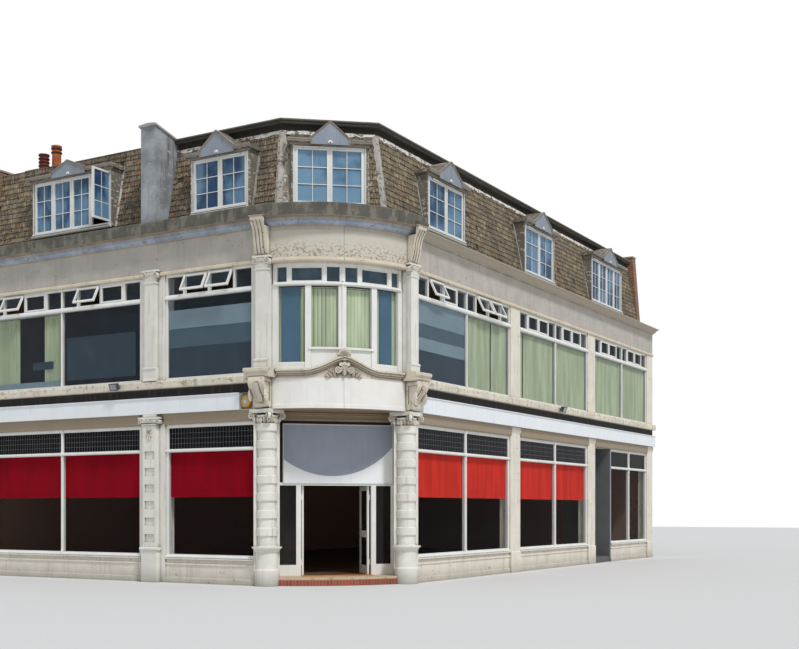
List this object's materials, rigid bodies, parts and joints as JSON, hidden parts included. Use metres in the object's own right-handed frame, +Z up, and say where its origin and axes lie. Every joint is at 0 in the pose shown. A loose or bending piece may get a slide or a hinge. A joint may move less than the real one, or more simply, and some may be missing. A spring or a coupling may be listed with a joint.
{
  "type": "corner shop building",
  "caption": "Street-corner building with shopfronts, a recessed corner entrance between banded columns, a bow window above it, a bracketed cornice and a mansard roof with pedimented dormers.",
  "frame": {"origin": "centre of the rounded corner's curve, at ground level", "axes": "+Z up; the left street front faces -Y and runs towards -X; the right street front faces +X and runs towards +Y"},
  "size_m": [12.7212, 20.7762, 12.27],
  "materials": {
    "floor_boards": "worn boards",
    "step_brick": "rough brick",
    "brick": "rough brick",
    "stucco": "matt painted stucco",
    "white_masonry": "satin masonry paint",
    "white_joinery": "gloss paint",
    "window_glass": "clear",
    "red_blind": "matt cloth",
    "pale_panel": "satin",
    "grey_render": "rough render",
    "grey_door": "satin paint",
    "floor_structure": "boards over plaster",
    "fascia_board": "satin",
    "green_blind": "matt cloth",
    "roof_tile": "weathered clay",
    "roof_deck": "mineral felt",
    "lead": "dull sheet",
    "amber_cover": "gloss"
  },
  "bodies": {
    "building": {"ground_floor": "floor_boards", "entrance_step": "step_brick", "party_wall_west": "brick", "party_wall_north": "brick", "stall_risers": "stucco", "ground_piers_left": "white_masonry", "ground_piers_right": "stucco", "corner_column_left": "white_masonry", "corner_column_right": "white_masonry", "entrance_returns": "white_masonry", "shopfront_left": "white_joinery", "shopfront_right": "white_joinery", "shop_glass": "window_glass", "shop_blinds": "red_blind", "entrance_frame": "white_joinery", "entrance_glass": "window_glass", "entrance_panel": "pale_panel", "side_lobby": "grey_render", "first_floor": "floor_structure", "fascia": "fascia_board", "sill_bands": "stucco", "corner_apron": "white_masonry", "apron_consoles": "white_masonry", "bow_frame": "white_joinery", "bow_glass": "window_glass", "bow_crest": "white_masonry", "upper_windows_left": "white_joinery", "upper_windows_right": "white_joinery", "upper_glass": "window_glass", "upper_blinds": "green_blind", "upper_piers_left": "white_masonry", "upper_piers_right": "stucco", "corner_pilasters": "white_masonry", "frieze": "stucco", "cornice": "stucco", "cornice_consoles": "white_masonry", "attic_floor": "floor_structure", "mansard_roof": "roof_tile", "flat_roof": "roof_deck", "dormers": "lead", "dormer_windows": "white_joinery", "dormer_glass": "window_glass", "roof_upstand": "grey_render", "chimney_stack": "brick", "wall_fittings": "amber_cover"},
    "entrance_door_left": {"door_leaf_left": "white_joinery"},
    "entrance_door_right": {"door_leaf_right": "white_joinery"},
    "street_door": {"side_door": "grey_door"}
  },
  "joints": [
    {"name": "entrance_left_hinge", "type": "hinge", "parent": "building", "child": "entrance_door_left", "pos_m": [0.49948, -1.56297, 1.2], "axis": [0, 0, 1], "range_deg": [-90, 0]},
    {"name": "entrance_right_hinge", "type": "hinge", "parent": "building", "child": "entrance_door_right", "pos_m": [1.66904, -0.39341, 1.2], "axis": [0, 0, -1], "range_deg": [-90, 0]},
    {"name": "street_door_hinge", "type": "hinge", "parent": "building", "child": "street_door", "pos_m": [1.656, 12.008, 1.2], "axis": [0, 0, 1], "range_deg": [0, 90]}
  ]
}
